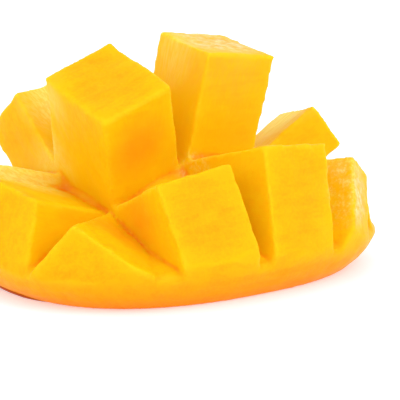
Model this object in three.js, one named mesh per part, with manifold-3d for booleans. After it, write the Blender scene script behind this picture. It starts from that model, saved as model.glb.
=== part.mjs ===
// Half a mango, scored in a grid down to the peel and pushed inside out.
// The peel has become a dome, and the cubes of flesh that stand on it fan outwards.
// One closed solid: the cubes, the uncut layer that carries them and the hollow under the dome.
import * as THREE from 'three';
import { mergeVertices } from 'three/addons/utils/BufferGeometryUtils.js';
import Module from 'manifold-3d';

const wasm = await Module();
wasm.setup();

// Lengths are in millimetres and angles in degrees. +X runs along the fruit and +Z is up.
// While it is built, the origin is the foot where the four cubes at the near end meet.
const footAboveTable = 21.9;
const cutDepth = 31;
const uncutLayer = 6.5;
// How far a cube's root reaches below its foot, into the uncut layer.
const rootDepth = 11;

// The columns of cubes across the fruit. x and z place a column's feet, width is along the fruit
// and side says which way it extends from its feet. The first and last are the ends of the fruit.
const columns = [
  { x: -2, z: -0.7, width: 23, side: -1, isEnd: true },
  { x: 0, z: 0, width: 23, side: 1, isEnd: false },
  { x: 23.7, z: 10.7, width: 23.5, side: 1, isEnd: false },
  { x: 45.5, z: 4.7, width: 14, side: 1, isEnd: false },
  { x: 53.5, z: -7, width: 20, side: 1, isEnd: true },
];
// The rows of cubes along the fruit, in the same way. height scales the cut depth, as the fruit
// thins towards its far edge.
const rows = [
  { y: 0, z: 0, depth: 30, side: -1, isEnd: true, height: 1.01 },
  { y: 0, z: 0, depth: 24, side: 1, isEnd: false, height: 1 },
  { y: 25.8, z: 10.5, depth: 20, side: 1, isEnd: false, height: 0.74 },
  { y: 39, z: -3, depth: 12, side: 1, isEnd: true, height: 0.6 },
];
// How each cube leans, column by column: its tilt from upright, the compass direction that it
// leans to, counted from +X, and its twist.
const leans = [
  [[84, -143, 6], [74, -165, 2], [76, 160, 0], [84, 138, 0]],
  [[66.8, -101.5, -2], [30, -133, 1.5], [40.5, 100, -1], [76, 104, 0]],
  [[75, -84, 0], [11.4, -47, -1.4], [52, 84, 0], [80, 86, 0]],
  [[78, -56, 0], [57, -4, -21], [62, 48, 0], [82, 62, 0]],
  [[87, -34, 0], [87, -4, 0], [86, 24, 0], [86, 50, 0]],
];
// The cubes whose size or foot differs from what their column and row give them. skew slants a
// cube's sides, flare is how much wider it is at its root, and below is its own root depth.
const uneven = {
  '0,0': { depth: 19, height: 31.3, move: [0.6, 0.6, -0.4], skew: -0.15 },
  '0,1': { depth: 20, height: 29.5, move: [1, 2.9, -0.7], skew: 0.26 },
  '0,2': { move: [0, -3.5, -3.5] },
  '1,1': { depth: 26.8, flare: 2.2 },
  '1,2': { move: [-2.5, 0, 0], below: 13 },
  '2,0': { height: 34.5 },
  '2,1': { depth: 24, height: 31.9, move: [0.4, -2.5, 0] },
  '2,2': { height: 20, move: [0, 0, -4] },
  '3,0': { height: 34 },
  '3,1': { depth: 22 },
};

// The rim of the half on the table: its middle, its half lengths and how square its outline is.
const rimMiddle = { x: 26, y: 6.5 };
const rimHalf = { x: 54, y: 41 };
const rimSquareness = 2.4;
// Each profile is a list of shares of the way out to the rim, with the height there.
const rimProfile = [[0.965, 0], [0.993, 0.7], [1.05, 3], [1.1, 6], [1.135, 9]];
const rimShoulder = [[1.12, 10.4], [1.05, 11.4]];
const shoulderHeight = 11.4;
// No cube reaches out past this bulge, which carries on upwards from the rim.
const outerProfile = [[1.16, 13], [1.18, 20], [1.22, 30], [1.25, 70], [0, 70]];
const underRim = [[0, -1], [0.96, -1]];
// The flesh rises from the rim to its middle by this much, under the dome.
const flangeRise = 6;
// The hollow under the rim flares a little where its thin edge meets the table.
const hollowFoot = [[0, -2], [0.97, -2], [0.93, 0.5]];
// The dome that carries the feet of the cubes, and the thickness over the hollow under it.
const domeMiddle = { x: 24.5, y: 19 };
const domeHalf = { x: 31, y: 31, z: 36.5 };
const domeSquareness = 2.4;
const layerDepth = 7;
// How fast the flesh thins towards the peel at an end, and the least that is left of a cube there.
const peelFullness = 2.4;
const bluntEdge = 9;
// Steps round and up the dome, and along the curved side of an end cube.
const spokeCount = 56;
const ringCount = 18;
const endSteps = 7;
const tableSize = 400;
const weldDistance = 1e-4;

// A closed body from a plain shape, once each of its points is moved to its place.
function closedBody(geometry, movePoint) {
  const bare = geometry.clone();
  bare.deleteAttribute('normal');
  bare.deleteAttribute('uv');
  const joined = mergeVertices(bare, weldDistance);
  const place = joined.getAttribute('position');
  const point = new THREE.Vector3();
  for (let i = 0; i < place.count; i += 1) {
    point.fromBufferAttribute(place, i);
    movePoint(point);
    place.setXYZ(i, point.x, point.y, point.z);
  }
  const triVerts = Uint32Array.from(joined.getIndex().array);
  const vertProperties = Float32Array.from(place.array);
  return new wasm.Manifold(new wasm.Mesh({ numProp: 3, vertProperties, triVerts }));
}

// The turn of a cube that is spun on its foot by its twist and then tilted.
function leanTurn([tilt, towards, twist]) {
  const heading = THREE.MathUtils.degToRad(towards);
  const axis = new THREE.Vector3(-Math.sin(heading), Math.cos(heading), 0);
  const turn = new THREE.Quaternion().setFromAxisAngle(axis, THREE.MathUtils.degToRad(tilt));
  const spin = new THREE.Quaternion();
  spin.setFromAxisAngle(new THREE.Vector3(0, 0, 1), THREE.MathUtils.degToRad(twist));
  return turn.multiply(spin);
}

// How deep the flesh is at a share of the way out to the peel.
function depthShare(outwards) {
  return Math.max(0, 1 - outwards ** peelFullness) ** (1 / peelFullness);
}

// One cube of flesh. Its cut faces are flat, and at an end of the fruit its outer side is the
// curve of the peel.
function cube(columnIndex, rowIndex) {
  const column = columns[columnIndex];
  const row = rows[rowIndex];
  const own = uneven[`${columnIndex},${rowIndex}`] ?? {};
  const width = (own.width ?? column.width) + (column.isEnd ? uncutLayer : 0);
  const depth = (own.depth ?? row.depth) + (row.isEnd ? uncutLayer : 0);
  const height = own.height ?? cutDepth * row.height;
  const foot = new THREE.Vector3(column.x, row.y, column.z + row.z + footAboveTable);
  foot.add(new THREE.Vector3(...(own.move ?? [0, 0, 0])));
  const turn = leanTurn(leans[columnIndex][rowIndex]);
  const stepsX = column.isEnd ? endSteps : 1;
  const stepsY = row.isEnd ? endSteps : 1;
  return closedBody(new THREE.BoxGeometry(1, 1, 1, stepsX, stepsY, 1), (point) => {
    const along = point.x * column.side + 0.5;
    const across = point.y * row.side + 0.5;
    const outwards = Math.max(column.isEnd ? along : 0, row.isEnd ? across : 0);
    const fullDepth = height + (own.below ?? rootDepth);
    const below = Math.max(bluntEdge, fullDepth * depthShare(outwards));
    const flare = point.z > 0 ? 0 : own.flare ?? 0;
    const x = along * (width + flare) * column.side;
    const y = across * depth * row.side + x * (own.skew ?? 0);
    point.set(x, y, point.z > 0 ? height : height - below);
    point.applyQuaternion(turn).add(foot);
  });
}

// A dome with squarish sides, whose foot is on the table.
function domeBody(halfX, halfY, halfZ) {
  return closedBody(new THREE.SphereGeometry(1, spokeCount, ringCount), (point) => {
    const total = Math.abs(point.x) ** domeSquareness + Math.abs(point.y) ** domeSquareness
      + Math.abs(point.z) ** domeSquareness;
    point.multiplyScalar(total ** (-1 / domeSquareness));
    point.set(domeMiddle.x + point.x * halfX, domeMiddle.y + point.y * halfY, point.z * halfZ);
  });
}

// How far the rim's outline is from its middle in a direction, where a circle's would be 1.
function rimReach(angle) {
  const along = Math.abs(Math.cos(angle)) ** rimSquareness;
  const across = Math.abs(Math.sin(angle)) ** rimSquareness;
  return (along + across) ** (-1 / rimSquareness);
}

// A body with the outline of the rim, from shares of the way out and heights.
function roundBody(profile) {
  const points = profile.map(([share, height]) => new THREE.Vector2(share, height));
  return closedBody(new THREE.LatheGeometry(points, spokeCount), (point) => {
    const share = Math.hypot(point.x, point.z);
    const angle = Math.atan2(-point.z, point.x);
    const reach = rimReach(angle) * share;
    const x = rimMiddle.x + Math.cos(angle) * reach * rimHalf.x;
    const y = rimMiddle.y + Math.sin(angle) * reach * rimHalf.y;
    point.set(x, y, point.y);
  });
}

const flangeTop = [0, shoulderHeight + flangeRise];
const flange = roundBody([[0, 0], ...rimProfile, ...rimShoulder, flangeTop]);
const dome = domeBody(domeHalf.x, domeHalf.y, domeHalf.z);
const flangeHollow = roundBody([...hollowFoot, [0, shoulderHeight + flangeRise - layerDepth]]);
const hollowHalf = [domeHalf.x - layerDepth, domeHalf.y - layerDepth, domeHalf.z - layerDepth];
const domeHollow = domeBody(...hollowHalf);
const skirt = roundBody([...underRim, ...rimProfile, ...outerProfile]);

let fruit = flange.add(dome);
for (let columnIndex = 0; columnIndex < columns.length; columnIndex += 1) {
  for (let rowIndex = 0; rowIndex < rows.length; rowIndex += 1) {
    fruit = fruit.add(cube(columnIndex, rowIndex));
  }
}
fruit = fruit.intersect(skirt).subtract(flangeHollow).subtract(domeHollow);
// The foot is cut flat where it rests on the table.
const table = closedBody(new THREE.BoxGeometry(tableSize, tableSize, tableSize), (point) => {
  point.z -= tableSize / 2;
});
fruit = fruit.subtract(table);

const mesh = fruit.getMesh();
const geometry = new THREE.BufferGeometry();
geometry.setAttribute('position', new THREE.BufferAttribute(mesh.vertProperties, 3));
geometry.setIndex(new THREE.BufferAttribute(mesh.triVerts, 1));
// The finished frame has its origin on the table, under the middle of the half.
geometry.computeBoundingBox();
const middle = geometry.boundingBox.getCenter(new THREE.Vector3());
geometry.translate(-middle.x, -middle.y, 0);
const flesh = new THREE.MeshStandardMaterial({ color: 0xfbbd14, roughness: 0.4, metalness: 0 });
const half = new THREE.Mesh(geometry, flesh);
half.name = 'mango_half';
const group = new THREE.Group();
group.add(half);
export default group;
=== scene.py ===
import math

import bpy
import numpy as np
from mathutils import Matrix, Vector
from mathutils.bvhtree import BVHTree


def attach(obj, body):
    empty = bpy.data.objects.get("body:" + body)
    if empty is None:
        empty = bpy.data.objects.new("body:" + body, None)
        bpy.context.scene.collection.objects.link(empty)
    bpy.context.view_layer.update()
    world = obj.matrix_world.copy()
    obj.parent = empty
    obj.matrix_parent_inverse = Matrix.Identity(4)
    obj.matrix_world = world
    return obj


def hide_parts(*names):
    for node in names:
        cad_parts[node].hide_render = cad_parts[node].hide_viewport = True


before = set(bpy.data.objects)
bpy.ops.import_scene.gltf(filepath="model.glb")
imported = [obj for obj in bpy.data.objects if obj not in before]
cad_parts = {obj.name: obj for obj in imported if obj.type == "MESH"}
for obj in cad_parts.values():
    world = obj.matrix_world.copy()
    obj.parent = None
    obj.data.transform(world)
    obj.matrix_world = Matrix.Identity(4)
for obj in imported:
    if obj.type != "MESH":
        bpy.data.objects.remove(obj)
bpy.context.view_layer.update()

# Flesh
# Ripe mango flesh, moist and faintly fibrous, scored in a grid with a knife and turned inside
# out. The cubes have soft corners and drag marks from the blade, and stay joined at the peel.
MM = 0.001
flesh_grain = 0.6 * MM
flesh_triangles = 190000
# The cut corners are rounded a little. The foot stays flat: nothing moves below the first height
# of its band, and everything moves freely above the second.
corner_passes = 4
corner_share = 0.5
corner_loss = 0.14 * MM
foot_band = (1.0 * MM, 4.0 * MM)
# Broad swells and small ripples, both with finer ones on them at a share of their height.
swell_size = 12 * MM
swell_height = 0.38 * MM
swell_finer = 2.1
swell_share = 0.5
swell_seed = 3
ripple_size = 2.6 * MM
ripple_height = 0.085 * MM
ripple_finer = 2.2
ripple_share = 0.6
ripple_seed = 7
# Drag marks that fan out from a centre inside the fruit. They have their width at this distance
# from it, wander on their way out, and show on the faces that lie along the fan.
fan_centre = np.array([-0.8, 11.2, 2.0]) * MM
drag_distance = 38 * MM
drag_width = 1.5 * MM
drag_height = 0.07 * MM
drag_wander = 28
drag_gain = 2
drag_seed = 11
# The top of the tallest cube is dished near one corner.
dish_place = np.array([3.4, -3.4, 64.4]) * MM
dish_depth = 0.8 * MM
dish_reach = 9 * MM
# How the surface bulges, from -1 in a crease to 1 on a corner: the passes of smoothing that it is
# set against, and the bulge that counts as full.
bulges = {"edge": (14, 0.5 * MM), "form": (110, 1.6 * MM)}
# How open the space in front of the surface is, out to this reach, from a few looks at each point
# and then evened out.
room_looks = 8
room_reach = 60 * MM
room_passes = 16


def lattice_noise(points, seed):
    """Smooth noise from -1 to 1 at points given in lattice steps, from a hash of each corner."""
    stir = np.array([73856093, 19349663, 83492791])
    seed_stir = 2654435
    last_stir = 1274126177
    word = 0xFFFFFFFF
    levels = 65536
    corner = np.floor(points).astype(np.int64)
    part = points - corner
    ease = part * part * (3 - 2 * part)
    total = np.zeros(len(points))
    for step in np.ndindex(2, 2, 2):
        mixed = np.bitwise_xor.reduce((corner + np.array(step)) * stir, axis=1) ^ seed * seed_stir
        mixed = (mixed ^ (mixed >> 13)) * last_stir & word
        value = (mixed ^ (mixed >> 16)) % levels / ((levels - 1) / 2) - 1
        weight = np.prod(np.where(np.array(step) == 1, ease, 1 - ease), axis=1)
        total += value * weight
    return total


def bumps(points, size, finer, share, seed):
    """Smooth bumps of one size, with finer ones on them at a share of their height."""
    coarse = lattice_noise(points / size, seed)
    return coarse + share * lattice_noise(points / size * finer, seed + 2)


def read(items, key, width, kind=float):
    """What each of a mesh's points, edges or triangles holds under a key, one row for each."""
    values = np.empty(len(items) * width, dtype=kind)
    items.foreach_get(key, values)
    return values.reshape(-1, width)


def write_points(mesh, points):
    mesh.vertices.foreach_set("co", points.ravel())
    mesh.update()


def smoothed(points, edges, passes, share=0.5):
    """Points pulled towards the mean of their neighbours, each by its share."""
    count = np.bincount(edges.ravel(), minlength=len(points))[:, None]
    result = points.copy()
    for _ in range(passes):
        total = np.empty_like(result)
        for axis in range(result.shape[1]):
            near = np.bincount(edges[:, 0], result[edges[:, 1], axis], len(result))
            far = np.bincount(edges[:, 1], result[edges[:, 0], axis], len(result))
            total[:, axis] = near + far
        result += (total / count - result) * share
    return result


def apply_modifier(piece, name, kind, **settings):
    """Give a piece the mesh that a modifier makes of it."""
    modifier = piece.modifiers.new(name, kind)
    for key, value in settings.items():
        setattr(modifier, key, value)
    depsgraph = bpy.context.evaluated_depsgraph_get()
    fresh = bpy.data.meshes.new_from_object(piece.evaluated_get(depsgraph))
    piece.modifiers.clear()
    old = piece.data
    piece.data = fresh
    bpy.data.meshes.remove(old)


def openness(points, normals, tree, looks, reach):
    """The share of the space before each point that is free of flesh, from a few looks each."""
    golden_angle = math.pi * (3 - math.sqrt(5))
    ways = 48
    first_step = 7
    look_step = 11
    lift = 0.4 * MM
    grazing = 0.05
    steps = np.arange(ways)
    height = 1 - 2 * (steps + 0.5) / ways
    flat = np.sqrt(1 - height ** 2)
    turns = steps * golden_angle
    directions = np.stack([flat * np.cos(turns), flat * np.sin(turns), height], 1)
    facing = normals @ directions.T
    firsts = np.arange(len(points)) * first_step % ways
    free = np.zeros(len(points))
    for i, (point, first) in enumerate(zip(points + normals * lift, firsts)):
        start = Vector(point)
        total = 0
        seen = 0
        tried = 0
        for step in range(ways):
            way = (first + step * look_step) % ways
            share = facing[i, way]
            if share < grazing:
                continue
            total += share
            if tree.ray_cast(start, directions[way], reach)[0] is None:
                seen += share
            tried += 1
            if tried == looks:
                break
        free[i] = seen / total
    return free


def add_values(mesh, name, values):
    layer = mesh.attributes.new(name, "FLOAT", "POINT")
    layer.data.foreach_set("value", values.astype(np.float32))


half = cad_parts["mango_half"]
flesh = bpy.data.objects.new("flesh", half.data.copy())
flesh.data.name = "flesh"
flesh.data.materials.clear()
bpy.context.scene.collection.objects.link(flesh)
apply_modifier(flesh, "grain", "REMESH", mode="VOXEL", voxel_size=flesh_grain, adaptivity=0)

edges = read(flesh.data.edges, "vertices", 2, np.int64)
points = read(flesh.data.vertices, "co", 3)
free = np.clip((points[:, 2] - foot_band[0]) / (foot_band[1] - foot_band[0]), 0, 1)
points = smoothed(points, edges, corner_passes, corner_share * free[:, None])
write_points(flesh.data, points)
normals = read(flesh.data.vertices, "normal", 3)
outwards = points - fan_centre
distance = np.linalg.norm(outwards, axis=1)
outwards /= distance[:, None]
across = 1 - np.abs(np.sum(normals * outwards, axis=1))
swell = bumps(points, swell_size, swell_finer, swell_share, swell_seed)
ripple = bumps(points, ripple_size, ripple_finer, ripple_share, ripple_seed)
fan_lines = outwards * (drag_distance / drag_width)
drag = lattice_noise(fan_lines + distance[:, None] * drag_wander, drag_seed)
drag *= np.clip(across * drag_gain, 0, 1)
dish = np.exp(-np.sum((points - dish_place) ** 2, axis=1) / dish_reach ** 2)
height = swell * swell_height + ripple * ripple_height + drag * drag_height
height += corner_loss - dish * dish_depth
points = points + normals * (height * free)[:, None]
points[:, 2] = np.maximum(points[:, 2], 0)
write_points(flesh.data, points)
# The faces have four sides here, so each of them counts as two triangles.
kept_share = min(1, flesh_triangles / (2 * len(flesh.data.polygons)))
apply_modifier(flesh, "thin", "DECIMATE", ratio=kept_share)

mesh = flesh.data
mesh.polygons.foreach_set("use_smooth", np.ones(len(mesh.polygons), dtype=bool))
points = read(mesh.vertices, "co", 3)
edges = read(mesh.edges, "vertices", 2, np.int64)
normals = read(mesh.vertices, "normal", 3)
for name, (passes, full) in bulges.items():
    bulge = np.sum((points - smoothed(points, edges, passes)) * normals, axis=1)
    add_values(mesh, name, np.clip(bulge / full, -1, 1))
tree = BVHTree.FromPolygons(points.tolist(), [tuple(face.vertices) for face in mesh.polygons])
room = openness(points, normals, tree, room_looks, room_reach)
add_values(mesh, "room", smoothed(room[:, None], edges, room_passes)[:, 0])


class Value:
    """A shader socket that takes part in plain arithmetic."""

    def __init__(self, look, socket):
        self.look = look
        self.socket = socket

    def math(self, operation, first, second):
        return self.look.node("ShaderNodeMath", {"operation": operation}, {0: first, 1: second})

    def __add__(self, other):
        return self.math("ADD", self, other)

    def __radd__(self, other):
        return self.math("ADD", other, self)

    def __sub__(self, other):
        return self.math("SUBTRACT", self, other)

    def __rsub__(self, other):
        return self.math("SUBTRACT", other, self)

    def __mul__(self, other):
        return self.math("MULTIPLY", self, other)

    def __rmul__(self, other):
        return self.math("MULTIPLY", other, self)

    def clamp(self):
        return self.math("MINIMUM", self.math("MAXIMUM", self, 0.0), 1.0)

    def between(self, low, high):
        """0 at low, 1 at high, and even between them."""
        return ((self - low) * (1 / (high - low))).clamp()


class Look:
    """A material and the nodes that make it."""

    def __init__(self, name):
        self.material = bpy.data.materials.new(name)
        self.material.use_nodes = True
        self.tree = self.material.node_tree
        self.shader = self.tree.nodes["Principled BSDF"]

    def node(self, kind, settings=None, inputs=None, output=0):
        made = self.tree.nodes.new(kind)
        for key, value in (settings or {}).items():
            setattr(made, key, value)
        for key, value in (inputs or {}).items():
            self.give(made.inputs[key], value)
        return Value(self, made.outputs[output])

    def give(self, socket, value):
        """Link a value to a socket, or set the socket to a plain number or colour."""
        if isinstance(value, Value):
            self.tree.links.new(value.socket, socket)
        else:
            socket.default_value = value

    def mix(self, factor, low, high):
        """A colour between two colours, each a tuple or a value."""
        # The node's colours are its sockets 6 and 7, and the mixed colour is its output 2.
        settings = {"data_type": "RGBA", "clamp_factor": True}
        return self.node("ShaderNodeMix", settings, {0: factor, 6: low, 7: high}, 2)

    def noise(self, place, scale, detail=3.0, roughness=0.6):
        inputs = {"Vector": place, "Scale": scale, "Detail": detail, "Roughness": roughness}
        return self.node("ShaderNodeTexNoise", {"noise_dimensions": "3D"}, inputs)

    def vector(self, operation, *places, output=0):
        settings = {"operation": operation}
        return self.node("ShaderNodeVectorMath", settings, dict(enumerate(places)), output)

    def attribute(self, name):
        return self.node("ShaderNodeAttribute", {"attribute_name": name}, output="Fac")

    def place(self):
        return self.node("ShaderNodeTexCoord", output="Object")

    def bump(self, strength, depth, height):
        inputs = {"Strength": strength, "Distance": depth, "Height": height}
        return self.node("ShaderNodeBump", None, inputs)

    def feed(self, **sockets):
        for key, value in sockets.items():
            self.give(self.shader.inputs[key.replace("_", " ")], value)


def from_screen(red, green, blue):
    """A colour given as 0 to 255 on a screen, as the shader's linear colour by the sRGB curve."""
    shares = [c / 255 for c in (red, green, blue)]
    return (*[s / 12.92 if s < 0.04045 else ((s + 0.055) / 1.055) ** 2.4 for s in shares], 1.0)


sunny = from_screen(241, 185, 8)
golden = from_screen(240, 165, 10)
glowing = from_screen(247, 206, 14)
tangerine = from_screen(243, 112, 10)
ripe = from_screen(246, 151, 20)
ember = from_screen(250, 134, 12)
straw = from_screen(252, 232, 118)
lemon = from_screen(250, 211, 34)
foot_tint_and_shade_height = 13 * MM
# Places on the flesh in millimetres, each with its reach and how strongly it shows.
ripe_places = ((-21.5, -14.8, 40, 12, 0.7), (-27.5, -23.5, 23, 12, 0.6), (-38, -17, 22, 10, 0.5))
# The second list is of painted sheen: places painted pale for the reflection of white light on
# faces seen at a grazing angle.
painted_sheen_places = ((-18, 26, 50, 15, 1.0), (-39, 18, 28.5, 17, 0.9), (13, -4, 65, 20, 0.15),
              (46.5, 6, 42, 17, 0.95), (-35, 6, 52, 8, 0.3), (3, 2, 62, 11, 0.35))
juice_places = ((-40, 16, 29, 16, 0.5), (-16, 26, 50, 12, 0.5), (16, -2, 68, 14, 0.9),
                (33, -37, 25, 13, 1.0), (-1, -14, 32, 7, 0.9))
# The share of its reach over which a place is at its fullest.
place_core = 0.25
juice_core = 0.6
# The patterns in the flesh, as waves to the metre. Fibres are drawn out along the fruit, and
# the blade's marks along the fan, whose waves are counted on a ball of one metre's radius.
cloud_scale = 60.0
mottle_scale = 190.0
fibre_scale = 480.0
fibre_stretch = (0.13, 1.0, 0.8)
mark_scale = 75.0
mark_drift = (1.2, 1.2, 1.2)
droplet_scale = 420.0
grain_scale = 1100.0
# How strongly each tint shows at its fullest, and how much the flesh's patterns break it up.
# Most of these tints paint light and shade: paler clefts, a darker foot, redder creases, pale
# sheen, paler corners and glints.
painted_cleft_light = 0.8
foot_tint_and_shade = 0.7
ripe_mottle = 0.3
painted_crease_shade = 0.6
painted_narrow_crease_shade = 0.4
painted_sheen_least = 0.5
painted_sheen_marks = 0.55
corner_least = 0.2
corner_mottle = 0.5
painted_corner_highlight = 0.7
painted_glint_share = 0.55
# The satin of the flesh, and what each pattern adds to it and to the finest relief.
flesh_roughness = 0.32
mottle_roughness = 0.2
wet_gloss = 0.1
flesh_relief = 0.3 * MM
flesh_relief_strength = 0.3
grain_relief = 0.8
mark_relief = 0.7
fibre_relief = 0.5


def spots(look, place, places, core=place_core):
    """1 in the core of each place, and 0 beyond its reach."""
    total = 0.0
    for *spot, reach, amount in places:
        gap = look.vector("DISTANCE", place, tuple(c * MM for c in spot), output="Value")
        total = gap.between(reach * MM, reach * MM * core) * amount + total
    return total.clamp()


look = Look("mango_flesh")
place = look.place()
edge = look.attribute("edge")
form = look.attribute("form")
crease = form * -1
room = look.attribute("room")
above_table = look.node("ShaderNodeSeparateXYZ", None, {0: place}, "Z")
cloud = look.noise(place, cloud_scale, roughness=0.5)
mottle = look.noise(place, mottle_scale, detail=4.0)
fibre = look.noise(look.vector("MULTIPLY", place, fibre_stretch), fibre_scale)
spoke = look.vector("NORMALIZE", look.vector("SUBTRACT", place, tuple(fan_centre)))
marks = look.noise(look.vector("MULTIPLY_ADD", place, mark_drift, spoke), mark_scale)
droplets = look.noise(place, droplet_scale)
grain = look.noise(place, grain_scale, detail=4.0, roughness=0.65)
# The flesh is golden where its patterns are strong, and sunny where they are weak.
# Where it bulges it is painted sunnier, as painted light on the exposed form.
heart = 0.0
for pattern, low, high, share in ((cloud, 0.42, 0.6, 0.3), (mottle, 0.35, 0.7, 0.2),
                                  (fibre, 0.44, 0.6, 0.36), (marks, 0.42, 0.6, 0.36),
                                  (form, 0.05, 0.55, -0.45)):
    heart = pattern.between(low, high) * share + heart
colour = look.mix(heart.clamp(), sunny, golden)
# Painted light: the clefts are painted paler yellow, standing in for the light that has gone
# through flesh and fills them.
colour = look.mix((1 - room).between(0.12, 0.75) * painted_cleft_light, colour, glowing)
# Near the foot the flesh is painted more orange towards the table: partly the peel tinting the
# flesh, partly painted shade where the band turns under.
colour = look.mix(above_table.between(foot_tint_and_shade_height, 0.0) * foot_tint_and_shade, colour, tangerine)
# Riper flesh in a few places. Deep in the wide creases and along the narrow ones the flesh is
# painted redder, as painted shade.
ripeness = spots(look, place, ripe_places) * (1 - mottle.between(0.8, 0.2) * ripe_mottle)
colour = look.mix(ripeness, colour, ripe)
colour = look.mix(crease.between(0.35, 1.0) * painted_crease_shade, colour, ember)
colour = look.mix((edge * -1).between(0.15, 0.7) * painted_narrow_crease_shade, colour, ember)
# Painted reflection: in a few places the flesh is painted pale for the sheen of white light on
# faces seen at a grazing angle, broken up along the blade's marks.
painted_sheen = spots(look, place, painted_sheen_places) * (marks.between(0.42, 0.58) * painted_sheen_marks + painted_sheen_least)
colour = look.mix(painted_sheen * (1 - crease.between(0.1, 0.5)), colour, straw)
# Painted highlight: a cut corner is painted paler, broken up by the mottle.
corner = edge.between(0.25, 1.0) * (mottle.between(0.3, 0.7) * corner_mottle + corner_least)
colour = look.mix(corner * painted_corner_highlight, colour, lemon)
# Juice stands in small drops, and pale flecks are painted among them as painted glints.
wet = spots(look, place, juice_places, juice_core) * droplets.between(0.36, 0.62)
colour = look.mix(wet * grain.between(0.47, 0.6) * painted_glint_share, colour, straw)
relief = grain * (wet + grain_relief) + marks * mark_relief + fibre * fibre_relief
look.feed(
    Base_Color=colour,
    Roughness=mottle * mottle_roughness + flesh_roughness - wet * wet_gloss,
    Normal=look.bump(flesh_relief_strength, flesh_relief, relief),
    Coat_Weight=wet,
    Coat_Roughness=0.3,
    IOR=1.18,
    Specular_IOR_Level=0.25,
    Subsurface_Weight=0.7,
    Subsurface_Radius=(1.0, 0.55, 0.15),
    Subsurface_Scale=3 * MM,
)
flesh.data.materials.append(look.material)
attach(flesh, "root")
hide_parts("mango_half")

# Peel
# The skin of the fruit, thin, smooth and waxy, yellow with a red cheek and small pale pores. The
# push from below has turned it into the hollow side, which it lines down to the foot.
rim_middle = np.array([0.8, -1.2]) * MM
rim_half = np.array([54, 41]) * MM
rim_squareness = 2.4
peel_reach = 0.965
peel_edge = 0.4 * MM
peel_thickness = 0.9 * MM
peel_bedded = 0.3 * MM
peel_passes = 30
peel_share = 0.6
# Where the skin curls out from under the foot: its section, each point a share of the way out to
# the rim and a share of its height, and the stretch of the rim where it does, with its taper.
curl_section = ((0.955, 0.0), (0.99, 0.0), (0.998, 0.35), (0.996, 0.75), (0.988, 1.0), (0.96, 0.9))
curl_height = 0.85 * MM
curl_ends = (math.radians(-25), math.radians(195))
curl_taper = math.radians(12)
curl_least = 0.02
curl_steps = 240


def peel_faces(points, faces, tree):
    """The faces inside the rim from which a straight way down is free."""
    lift = 0.3 * MM
    down = Vector((0, 0, -1))
    corners = points[faces]
    centres = corners.mean(axis=1)
    facing = np.cross(corners[:, 1] - corners[:, 0], corners[:, 2] - corners[:, 0])
    facing /= np.linalg.norm(facing, axis=1)[:, None]
    share = np.sum((np.abs(centres[:, :2] - rim_middle) / rim_half) ** rim_squareness, axis=1)
    inside = (share < peel_reach ** rim_squareness) & (centres[:, 2] > peel_edge)
    starts = centres + facing * lift
    return [i for i in np.flatnonzero(inside) if tree.ray_cast(Vector(starts[i]), down)[0] is None]


def rim_point(angle, share):
    """The place on the table at a share of the way out to the rim."""
    way = np.array([math.cos(angle), math.sin(angle)])
    reach = np.sum(np.abs(way) ** rim_squareness) ** (-1 / rim_squareness)
    return rim_middle + way * reach * share * rim_half


def curl():
    """The points and faces of the curled edge, a closed strip along the foot."""
    points = []
    faces = []
    count = len(curl_section)
    root = curl_section[0][0]
    for angle in np.linspace(*curl_ends, curl_steps + 1):
        left = min(angle - curl_ends[0], curl_ends[1] - angle) / curl_taper
        fullness = math.sqrt(min(1, max(curl_least, left)))
        for share, height in curl_section:
            out = rim_point(angle, root + (share - root) * fullness)
            points.append((*out, height * curl_height * fullness))
    for step in range(curl_steps):
        for side in range(count):
            near = step * count + side
            far = step * count + (side + 1) % count
            faces.append((near, far, far + count, near + count))
    faces.append(tuple(reversed(range(count))))
    faces.append(tuple(range(curl_steps * count, (curl_steps + 1) * count)))
    return points, faces


mesh.calc_loop_triangles()
faces = read(mesh.loop_triangles, "vertices", 3, np.int64)
chosen = faces[peel_faces(points, faces, tree)]
used, fresh = np.unique(chosen, return_inverse=True)
skin_mesh = bpy.data.meshes.new("peel")
skin_mesh.from_pydata(points[used].tolist(), [], fresh.reshape(-1, 3).tolist())
skin_edges = read(skin_mesh.edges, "vertices", 2, np.int64)
write_points(skin_mesh, smoothed(read(skin_mesh.vertices, "co", 3), skin_edges, peel_passes))
peel = bpy.data.objects.new("peel", skin_mesh)
bpy.context.scene.collection.objects.link(peel)
apply_modifier(peel, "thin", "DECIMATE", ratio=peel_share)
proud = 1 - 2 * peel_bedded / peel_thickness
apply_modifier(peel, "skin", "SOLIDIFY", thickness=peel_thickness, offset=proud)
points = read(peel.data.vertices, "co", 3)
points[:, 2] = np.maximum(points[:, 2], 0)
faces = [tuple(face.vertices) for face in peel.data.polygons]
curl_points, curl_faces = curl()
faces += [tuple(i + len(points) for i in face) for face in curl_faces]
peel.data.clear_geometry()
peel.data.from_pydata(points.tolist() + curl_points, [], faces)
add_values(peel.data, "curled", np.arange(len(peel.data.vertices)) >= len(points))
peel.data.polygons.foreach_set("use_smooth", np.ones(len(peel.data.polygons), dtype=bool))

skin_yellow = from_screen(246, 178, 44)
skin_green = from_screen(206, 176, 60)
skin_red = from_screen(206, 78, 44)
pore = from_screen(252, 214, 128)
dark_edge_and_shade = from_screen(182, 78, 16)
# The patterns in the skin, as waves to the metre, and how strongly each tint shows.
cheek_scale = 22.0
skin_cloud_scale = 90.0
skin_grain_scale = 900.0
pore_scale = 330.0
green_share = 0.35
cheek_least = 0.5
cheek_cloud = 0.4
pore_share = 0.6
dark_edge_and_shade_share = 0.95
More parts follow.
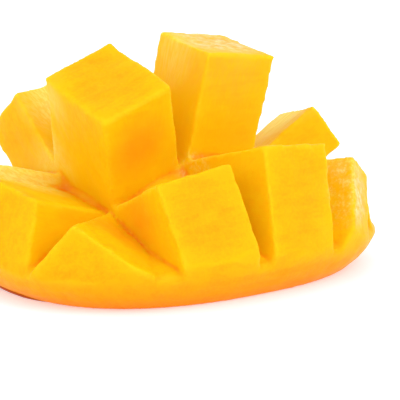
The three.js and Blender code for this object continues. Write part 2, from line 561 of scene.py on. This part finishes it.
# The satin of the skin, and what each pattern adds to it and to the finest relief.
skin_roughness = 0.32
cloud_roughness = 0.15
skin_relief = 0.2 * MM
skin_relief_strength = 0.25
skin_grain_relief = 0.6
skin_cloud_relief = 0.6
pore_relief = 0.4
look = Look("mango_peel")
place = look.place()
cheek = look.noise(place, cheek_scale, detail=2.0, roughness=0.5).between(0.46, 0.7)
cloud = look.noise(place, skin_cloud_scale)
grain = look.noise(place, skin_grain_scale)
cells = look.node("ShaderNodeTexVoronoi", {"feature": "F1"}, {"Vector": place, "Scale": pore_scale})
pores = cells.between(0.22, 0.1)
colour = look.mix(cloud.between(0.4, 0.7) * green_share, skin_yellow, skin_green)
colour = look.mix(cheek * (cloud.between(0.3, 0.6) * cheek_cloud + cheek_least), colour, skin_red)
colour = look.mix(pores * pore_share, colour, pore)
# The curled edge at the foot is painted dark brown-red: partly the peel's own edge, partly painted
# contact shadow where it meets the table.
colour = look.mix(look.attribute("curled") * dark_edge_and_shade_share, colour, dark_edge_and_shade)
relief = grain * skin_grain_relief + cloud * skin_cloud_relief + pores * pore_relief
look.feed(
    Base_Color=colour,
    Roughness=cloud * cloud_roughness + skin_roughness,
    Normal=look.bump(skin_relief_strength, skin_relief, relief),
    IOR=1.3,
    Subsurface_Weight=0.2,
    Subsurface_Radius=(1.0, 0.5, 0.2),
    Subsurface_Scale=2 * MM,
)
peel.data.materials.append(look.material)
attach(peel, "root")
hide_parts("mango_half")

# Table and light
# A plain white table that glows a little itself, under a wide even light. Two broad soft lights
# are added to that, one from high up in front and one from the left.
table_half = 3.0
table_drop = 0.01 * MM
table_white = (0.75, 0.74, 0.84, 1)
table_roughness = 0.7
table_glow_white = (1, 0.98, 1, 1)
table_glow = 0.38
even_light = 0.94
# Each broad light's name, the way to it, its width in degrees and its strength.
broad_lights = (("soft_key", (0.15, -0.75, 0.65), 50, 0.9),
                ("left_fill", (-0.9, 0.1, 0.45), 70, 0.6))
table_mesh = bpy.data.meshes.new("table")
corners = [(x * table_half, y * table_half, 0) for x, y in ((-1, -1), (1, -1), (1, 1), (-1, 1))]
table_mesh.from_pydata(corners, [], [(0, 1, 2, 3)])
table = bpy.data.objects.new("table", table_mesh)
bpy.context.scene.collection.objects.link(table)
table.location.z = -table_drop
white = Look("white_table")
white.feed(
    Base_Color=table_white,
    Roughness=table_roughness,
    Emission_Color=table_glow_white,
    Emission_Strength=table_glow,
)
table_mesh.materials.append(white.material)

world = bpy.data.worlds.new("even_light")
bpy.context.scene.world = world
world.use_nodes = True
sky = world.node_tree.nodes["Background"]
sky.inputs["Color"].default_value = (1, 1, 1, 1)
sky.inputs["Strength"].default_value = even_light

for name, way, width, strength in broad_lights:
    lamp = bpy.data.lights.new(name, "SUN")
    lamp.angle = math.radians(width)
    lamp.energy = strength
    holder = bpy.data.objects.new(name, lamp)
    holder.rotation_euler = (-Vector(way)).to_track_quat("-Z", "Y").to_euler()
    bpy.context.scene.collection.objects.link(holder)
bpy.context.scene.view_settings.view_transform = "Standard"

# Camera
# It stands in front of the near end, a little above the table, and looks across the cubes. The
# foot where the near cubes meet is to the left of the middle of its view, and a little below it.
view_azimuth = math.radians(-38)
view_elevation = math.radians(12)
view_distance = 650 * MM
foot_place = np.array([-25.23, -7.66, 21.9]) * MM
foot_beside = 24.17 * MM
foot_below = 2.5 * MM
# The width in pixels of the frame and of a millimetre at the foot, and so the frame's width there.
frame_pixels = 400
millimetre_pixels = 3.6
frame_width = frame_pixels / millimetre_pixels * MM
sensor_width = 36
right = np.array([math.cos(view_azimuth), math.sin(view_azimuth), 0])
ahead = np.array([-math.sin(view_azimuth) * math.cos(view_elevation),
                  math.cos(view_azimuth) * math.cos(view_elevation), -math.sin(view_elevation)])
above = np.cross(right, ahead)
camera = bpy.data.objects.new("camera", bpy.data.cameras.new("camera"))
camera.data.sensor_width = sensor_width
camera.data.lens = sensor_width * view_distance / frame_width
camera.location = foot_place + right * foot_beside + above * foot_below - ahead * view_distance
camera.rotation_euler = Vector(ahead).to_track_quat("-Z", "Y").to_euler()
bpy.context.scene.collection.objects.link(camera)
bpy.context.scene.camera = camera
